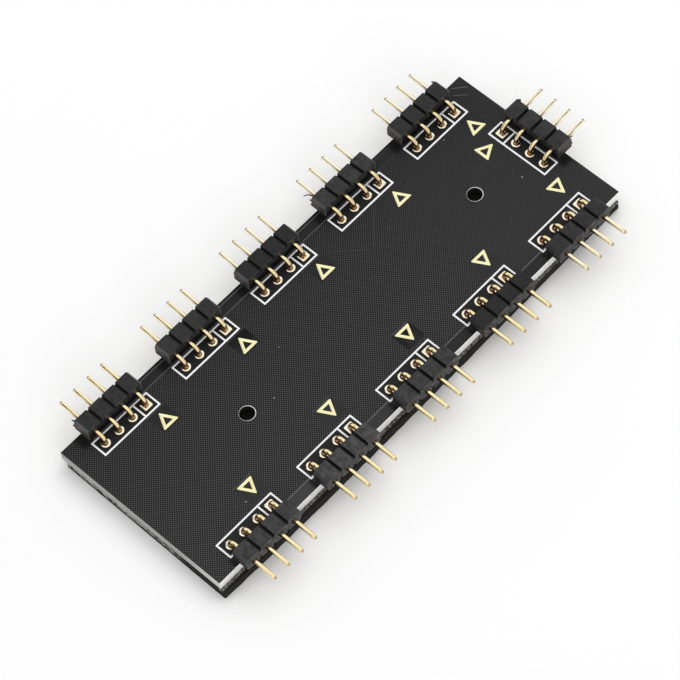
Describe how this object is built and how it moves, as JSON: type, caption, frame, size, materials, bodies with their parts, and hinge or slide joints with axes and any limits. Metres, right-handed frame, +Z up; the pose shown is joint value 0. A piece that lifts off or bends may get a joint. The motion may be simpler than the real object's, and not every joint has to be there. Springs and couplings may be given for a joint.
{
  "type": "rgb fan hub",
  "caption": "Bare circuit board hub with right-angle pin ports along both long sides and one at its end, on a foam adhesive pad; shares a lighting signal among case fans.",
  "frame": {"origin": "on the underside of the adhesive pad, below the middle of the circuit board", "axes": "+Y along the board towards the input port, +X to the right-hand ports seen from above, +Z up off the board's top face"},
  "size_m": [0.0395, 0.0839, 0.0056],
  "materials": {
    "black_board": "satin solder mask over glass laminate",
    "port_plastic": "moulded, fine matt grain",
    "gold_pins": "gold flashed",
    "gold_lands": "gold flashed",
    "black_foam": "rough cut foam"
  },
  "bodies": {
    "root": {"adhesive_pad": "black_foam", "circuit_board": "black_board", "input_port_housing": "port_plastic", "input_port_pin_1": "gold_pins", "input_port_pin_2": "gold_pins", "input_port_pin_3": "gold_pins", "input_port_pin_4": "gold_pins", "left_port_1_housing": "port_plastic", "left_port_1_pin_1": "gold_pins", "left_port_1_pin_2": "gold_pins", "left_port_1_pin_3": "gold_pins", "left_port_1_pin_4": "gold_pins", "left_port_2_housing": "port_plastic", "left_port_2_pin_1": "gold_pins", "left_port_2_pin_2": "gold_pins", "left_port_2_pin_3": "gold_pins", "left_port_2_pin_4": "gold_pins", "left_port_3_housing": "port_plastic", "left_port_3_pin_1": "gold_pins", "left_port_3_pin_2": "gold_pins", "left_port_3_pin_3": "gold_pins", "left_port_3_pin_4": "gold_pins", "left_port_4_housing": "port_plastic", "left_port_4_pin_1": "gold_pins", "left_port_4_pin_2": "gold_pins", "left_port_4_pin_3": "gold_pins", "left_port_4_pin_4": "gold_pins", "left_port_5_housing": "port_plastic", "left_port_5_pin_1": "gold_pins", "left_port_5_pin_2": "gold_pins", "left_port_5_pin_3": "gold_pins", "left_port_5_pin_4": "gold_pins", "plated_lands": "gold_lands", "right_port_1_housing": "port_plastic", "right_port_1_pin_1": "gold_pins", "right_port_1_pin_2": "gold_pins", "right_port_1_pin_3": "gold_pins", "right_port_1_pin_4": "gold_pins", "right_port_2_housing": "port_plastic", "right_port_2_pin_1": "gold_pins", "right_port_2_pin_2": "gold_pins", "right_port_2_pin_3": "gold_pins", "right_port_2_pin_4": "gold_pins", "right_port_3_housing": "port_plastic", "right_port_3_pin_1": "gold_pins", "right_port_3_pin_2": "gold_pins", "right_port_3_pin_3": "gold_pins", "right_port_3_pin_4": "gold_pins", "right_port_4_housing": "port_plastic", "right_port_4_pin_1": "gold_pins", "right_port_4_pin_2": "gold_pins", "right_port_4_pin_3": "gold_pins", "right_port_4_pin_4": "gold_pins", "right_port_5_housing": "port_plastic", "right_port_5_pin_1": "gold_pins", "right_port_5_pin_2": "gold_pins", "right_port_5_pin_3": "gold_pins", "right_port_5_pin_4": "gold_pins"}
  },
  "joints": []
}
